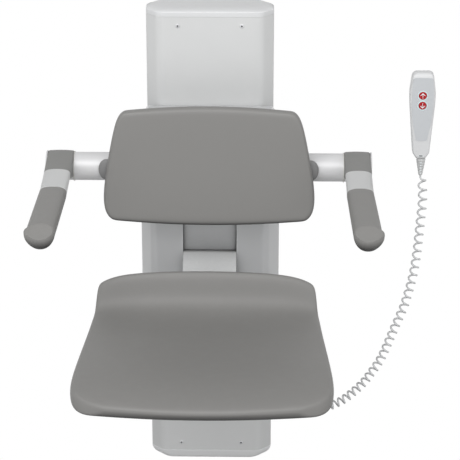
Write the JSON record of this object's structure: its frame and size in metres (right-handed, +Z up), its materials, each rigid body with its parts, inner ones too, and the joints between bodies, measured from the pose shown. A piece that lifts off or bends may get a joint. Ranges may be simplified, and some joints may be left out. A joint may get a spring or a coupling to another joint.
{
  "type": "height adjustable wall mounted shower seat",
  "caption": "Wall mounted electric shower seat: a lift column with folding seat, backrest, folding armrests and a wired hand control.",
  "frame": {"origin": "on the wall behind the column, midway across it and level with the crossbar's axis", "axes": "+Y into the wall, away from the user; +Z up; +X towards the hand control's side"},
  "size_m": [0.7698, 0.7337, 1.006],
  "materials": {
    "white_paint": "satin off-white powder coat",
    "white_plastic": "satin off-white moulded plastic",
    "housing_plastic": "light grey moulded plastic",
    "centre_panel_plastic": "mid grey matte plastic",
    "grey_foam": "soft grey skinned polyurethane foam, finely grained",
    "hub_paint": "cast aluminium with grey paint",
    "dark_plastic": "dark grey matte plastic",
    "satin_aluminium": "satin anodised aluminium",
    "light_grey_plastic": "light grey satin plastic",
    "bracket_paint": "cast aluminium with light grey paint",
    "zinc_steel": "zinc plated steel",
    "bearing_plastic": "white sliding plastic",
    "keypad_film": "blue grey printed film",
    "red_button": "red plastic with a white arrow",
    "cord_grey": "light grey cord sheath"
  },
  "bodies": {
    "column": {"wall_rail": "zinc_steel", "guide_rail_left": "zinc_steel", "guide_rail_right": "zinc_steel", "column_cover": "white_paint", "top_cap": "white_plastic", "bottom_cap": "white_plastic", "top_bracket": "zinc_steel", "bottom_bracket": "zinc_steel", "cover_screw_1": "zinc_steel", "cover_screw_2": "zinc_steel", "cover_screw_3": "zinc_steel", "cover_screw_4": "zinc_steel", "actuator_gearbox": "dark_plastic", "actuator_tube": "zinc_steel", "actuator_motor": "dark_plastic", "control_box": "dark_plastic", "cord_gland": "light_grey_plastic", "handset_body": "white_plastic", "handset_back": "white_plastic", "handset_board": "dark_plastic", "handset_panel": "keypad_film", "handset_holder": "white_plastic", "handset_strain_relief": "light_grey_plastic", "handset_cord": "cord_grey"},
    "carriage": {"glide_shoe_upper_left": "bearing_plastic", "glide_shoe_lower_left": "bearing_plastic", "glide_shoe_upper_right": "bearing_plastic", "glide_shoe_lower_right": "bearing_plastic", "carriage_back_plate": "zinc_steel", "carriage_side_plate_left": "zinc_steel", "carriage_side_plate_right": "zinc_steel", "carriage_front_plate": "zinc_steel", "actuator_rod": "zinc_steel", "rod_block": "satin_aluminium", "carriage_skirt_left": "housing_plastic", "carriage_skirt_right": "housing_plastic", "carriage_housing": "housing_plastic", "centre_panel": "centre_panel_plastic", "crossbar": "satin_aluminium", "crossbar_clamp_left": "dark_plastic", "crossbar_clamp_right": "dark_plastic", "crossbar_end_cap_left": "satin_aluminium", "crossbar_end_cap_right": "satin_aluminium", "backrest_carrier": "dark_plastic", "backrest_pad": "grey_foam", "seat_bracket": "bracket_paint", "seat_hinge_pin": "zinc_steel"},
    "seat": {"seat_pad": "grey_foam", "seat_frame": "zinc_steel"},
    "armrest_left": {"armrest_hub_left": "hub_paint", "armrest_bush_left": "bearing_plastic", "armrest_beam_left": "light_grey_plastic", "armrest_grip_left": "grey_foam"},
    "armrest_right": {"armrest_hub_right": "hub_paint", "armrest_bush_right": "bearing_plastic", "armrest_beam_right": "light_grey_plastic", "armrest_grip_right": "grey_foam"},
    "up_button": {"up_button": "red_button"},
    "down_button": {"down_button": "red_button"}
  },
  "joints": [
    {"name": "lift_slide", "type": "slide", "parent": "column", "child": "carriage", "axis": [0, 0, 1], "range_m": [-0.19, 0.11]},
    {"name": "seat_fold", "type": "hinge", "parent": "carriage", "child": "seat", "pos_m": [0, -0.268, -0.232], "axis": [-1, 0, 0], "range_deg": [0, 90]},
    {"name": "armrest_left_fold", "type": "hinge", "parent": "carriage", "child": "armrest_left", "pos_m": [-0.288, -0.204, 0], "axis": [-1, 0, 0], "range_deg": [0, 95]},
    {"name": "armrest_right_fold", "type": "hinge", "parent": "carriage", "child": "armrest_right", "pos_m": [0.288, -0.204, 0], "axis": [-1, 0, 0], "range_deg": [0, 95]},
    {"name": "up_button_press", "type": "slide", "parent": "column", "child": "up_button", "axis": [0, 1, 0], "range_m": [0, 0.001], "stiffness_N_per_m": 1200, "springref_m": -0.0005},
    {"name": "down_button_press", "type": "slide", "parent": "column", "child": "down_button", "axis": [0, 1, 0], "range_m": [0, 0.001], "stiffness_N_per_m": 1200, "springref_m": -0.0005}
  ]
}
